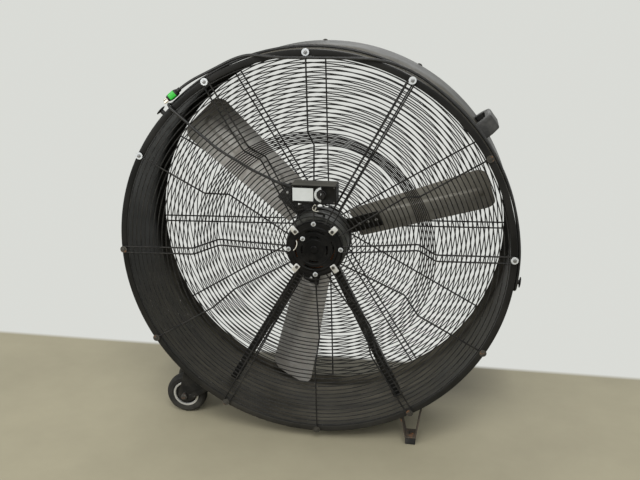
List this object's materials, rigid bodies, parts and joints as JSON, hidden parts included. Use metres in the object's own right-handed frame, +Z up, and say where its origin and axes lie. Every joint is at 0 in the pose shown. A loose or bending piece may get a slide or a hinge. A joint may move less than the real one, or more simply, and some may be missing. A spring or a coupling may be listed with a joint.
{
  "type": "drum fan",
  "caption": "Large direct-drive drum fan: wire-guarded sheet-metal drum with a motor-driven blade fan, transport wheels, strap feet, carrying handle, speed control box and wrapped power cord.",
  "frame": {"origin": "on the floor, under the drum's axis at the middle of its depth", "axes": "+X to the right and +Y away from the intake side, along the drum's axis; +Z up"},
  "size_m": [1.1335, 0.3457, 1.1507],
  "materials": {
    "drum_paint": "dusty satin",
    "guard_paint": "dusty satin",
    "zinc": "zinc plated",
    "motor_paint": "dusty matte",
    "steel": "machined",
    "copper": "lacquered",
    "bracket_paint": "satin",
    "blade_metal": "dull",
    "tyre_rubber": "matte",
    "pad_rubber": "matte",
    "black_plastic": "matte",
    "box_paint": "satin",
    "label_white": "matte",
    "cord_rubber": "matte"
  },
  "bodies": {
    "frame": {"drum_shell": "drum_paint", "intake_guard_rings": "guard_paint", "intake_guard_radials": "guard_paint", "outlet_guard_rings": "guard_paint", "outlet_guard_radials": "guard_paint", "outlet_guard_centre": "guard_paint", "rim_washers": "zinc", "rim_screws": "zinc", "motor_front_bell": "motor_paint", "motor_shell": "motor_paint", "motor_rear_bell": "motor_paint", "motor_bearings": "steel", "stator_core": "steel", "stator_windings": "copper", "motor_through_bolts": "zinc", "guard_clips": "zinc", "guard_clip_screws": "zinc", "motor_cradle": "bracket_paint", "cradle_bolts": "zinc", "wheel_fork_intake": "bracket_paint", "wheel_fork_outlet": "bracket_paint", "axle_bolts": "zinc", "foot_strap_intake": "bracket_paint", "foot_strap_outlet": "bracket_paint", "foot_pads": "pad_rubber", "foot_bolts": "zinc", "carry_handle": "black_plastic", "handle_screws": "zinc", "control_box_base": "box_paint", "control_box_cover": "box_paint", "dial_arc": "label_white", "blank_label": "label_white", "rotary_switch": "black_plastic", "run_capacitor": "black_plastic", "guard_clamp_plate": "bracket_paint", "clamp_screws": "zinc", "cord_gland": "black_plastic", "cord_hooks": "black_plastic", "power_cord": "cord_rubber", "cord_wrap": "cord_rubber", "plug": "black_plastic"},
    "fan": {"rotor_core": "steel", "motor_shaft": "steel", "fan_hub": "blade_metal", "fan_blade_a": "blade_metal", "fan_blade_b": "blade_metal", "fan_blade_c": "blade_metal", "blade_rivets": "zinc"},
    "wheel_intake": {"tyre_intake": "tyre_rubber", "wheel_rim_intake": "steel"},
    "wheel_outlet": {"tyre_outlet": "tyre_rubber", "wheel_rim_outlet": "steel"},
    "switch_knob": {"speed_knob": "black_plastic"}
  },
  "joints": [
    {"name": "fan_spin", "type": "hinge", "parent": "frame", "child": "fan", "pos_m": [0, 0, 0.585], "axis": [0, 1, 0], "continuous": true},
    {"name": "wheel_intake_spin", "type": "hinge", "parent": "frame", "child": "wheel_intake", "pos_m": [-0.42101, -0.054, 0.0635], "axis": [0, 1, 0], "continuous": true},
    {"name": "wheel_outlet_spin", "type": "hinge", "parent": "frame", "child": "wheel_outlet", "pos_m": [-0.42101, 0.054, 0.0635], "axis": [0, 1, 0], "continuous": true},
    {"name": "knob_turn", "type": "hinge", "parent": "frame", "child": "switch_knob", "pos_m": [0.028, -0.15, 0.757], "axis": [0, 1, 0], "range_deg": [-60, 60]}
  ]
}
